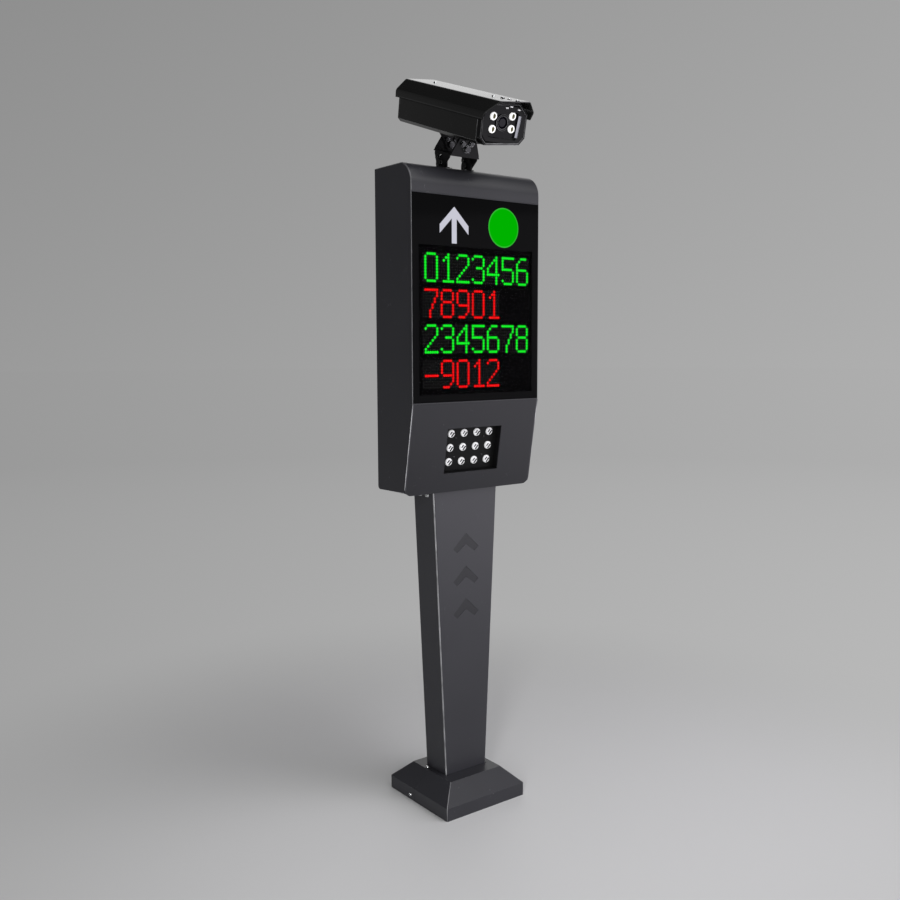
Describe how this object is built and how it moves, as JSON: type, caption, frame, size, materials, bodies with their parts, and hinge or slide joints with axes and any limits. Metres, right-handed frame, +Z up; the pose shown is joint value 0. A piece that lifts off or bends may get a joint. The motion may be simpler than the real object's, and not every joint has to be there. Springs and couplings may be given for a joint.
{
  "type": "parking lane terminal",
  "caption": "Parking lane terminal: tapered pedestal, display cabinet with status lamp and plate-lighting lamps, and a number-plate camera on a jointed bracket.",
  "frame": {"origin": "centre of the base plate's underside, on the floor, in the middle of the anchor holes", "axes": "+Z up, -Y towards the display side, +X to the right when facing the display"},
  "size_m": [0.34, 0.3527, 1.5951],
  "materials": {
    "charcoal_coat": "fine matt powder coat, dark charcoal",
    "black_coat": "satin black coat",
    "zinc_steel": "zinc plated, dull",
    "bright_steel": "bright plated fasteners",
    "smoked_acrylic": "polished smoked sheet",
    "black_plastic": "moulded, dull",
    "green_lens": "lit green lens",
    "clear_lens": "clear moulded lens, lit white",
    "circuit_board": "green laminate",
    "gasket_rubber": "soft foam rubber",
    "bare_aluminium": "plain mill finish",
    "front_glass": "dark flat glass"
  },
  "bodies": {
    "station": {"base_plate": "zinc_steel", "foot_gussets": "charcoal_coat", "column_shell": "charcoal_coat", "column_rear_cover": "charcoal_coat", "chevron_lens": "smoked_acrylic", "chevron_board": "circuit_board", "spigot": "zinc_steel", "spigot_bolts": "zinc_steel", "column_screws": "bright_steel", "base_cover_front": "charcoal_coat", "base_cover_rear": "charcoal_coat", "base_cover_screws": "bright_steel", "cabinet_shell": "charcoal_coat", "cabinet_sides": "charcoal_coat", "cabinet_floor": "charcoal_coat", "cabinet_rear": "charcoal_coat", "display_frame": "charcoal_coat", "display_window": "smoked_acrylic", "led_module_1": "black_plastic", "led_module_2": "black_plastic", "led_module_3": "black_plastic", "led_module_4": "black_plastic", "module_rails": "bare_aluminium", "lamp_cup": "black_plastic", "lamp_board": "circuit_board", "lamp_lens": "green_lens", "light_tray": "black_coat", "light_board": "black_plastic", "light_lenses": "clear_lens", "light_heatsink": "bare_aluminium", "equipment_plate": "zinc_steel", "power_supply": "bare_aluminium", "control_board": "circuit_board", "terminal_rail": "black_plastic", "door_frame": "charcoal_coat", "door_gasket": "gasket_rubber", "hinge_fixed_leaves": "black_coat", "hinge_pins": "zinc_steel", "pan_bolts": "bright_steel"},
    "rear_door": {"rear_door": "charcoal_coat", "hinge_door_leaves": "black_coat", "lock_barrel": "bright_steel"},
    "lock": {"lock_plug": "bright_steel"},
    "pan_base": {"bracket_base": "black_coat", "tilt_bolts": "bright_steel"},
    "tilt_cross": {"bracket_cross": "black_coat"},
    "camera": {"bracket_saddle": "black_coat", "lean_bolts": "bright_steel", "camera_body": "black_coat", "camera_bezel": "black_coat", "camera_glass": "front_glass", "lens_barrel": "zinc_steel", "lens_glass": "front_glass", "camera_lamps": "clear_lens", "camera_core": "circuit_board", "rear_cap": "black_coat", "cable_glands": "black_plastic", "sun_shield": "black_coat", "shield_posts": "zinc_steel", "shield_screws": "bright_steel"}
  },
  "joints": [
    {"name": "camera_pan", "type": "hinge", "parent": "station", "child": "pan_base", "pos_m": [0, 0.001, 1.376], "axis": [0, 0, 1], "range_deg": [-20, 20]},
    {"name": "camera_tilt", "type": "hinge", "parent": "pan_base", "child": "tilt_cross", "pos_m": [0, 0.001, 1.3955], "axis": [1, 0, 0], "range_deg": [-26.8, 11.2]},
    {"name": "camera_lean", "type": "hinge", "parent": "tilt_cross", "child": "camera", "pos_m": [0, -0.01092, 1.43053], "axis": [0, -0.9466, -0.3223], "range_deg": [-18.7, 5.3]},
    {"name": "door_swing", "type": "hinge", "parent": "station", "child": "rear_door", "pos_m": [0.15125, 0.0552, 1.041], "axis": [0, 0, -1], "range_deg": [0, 110]},
    {"name": "lock_turn", "type": "hinge", "parent": "rear_door", "child": "lock", "pos_m": [-0.111, 0.04, 1.041], "axis": [0, 1, 0], "range_deg": [0, 90]}
  ]
}
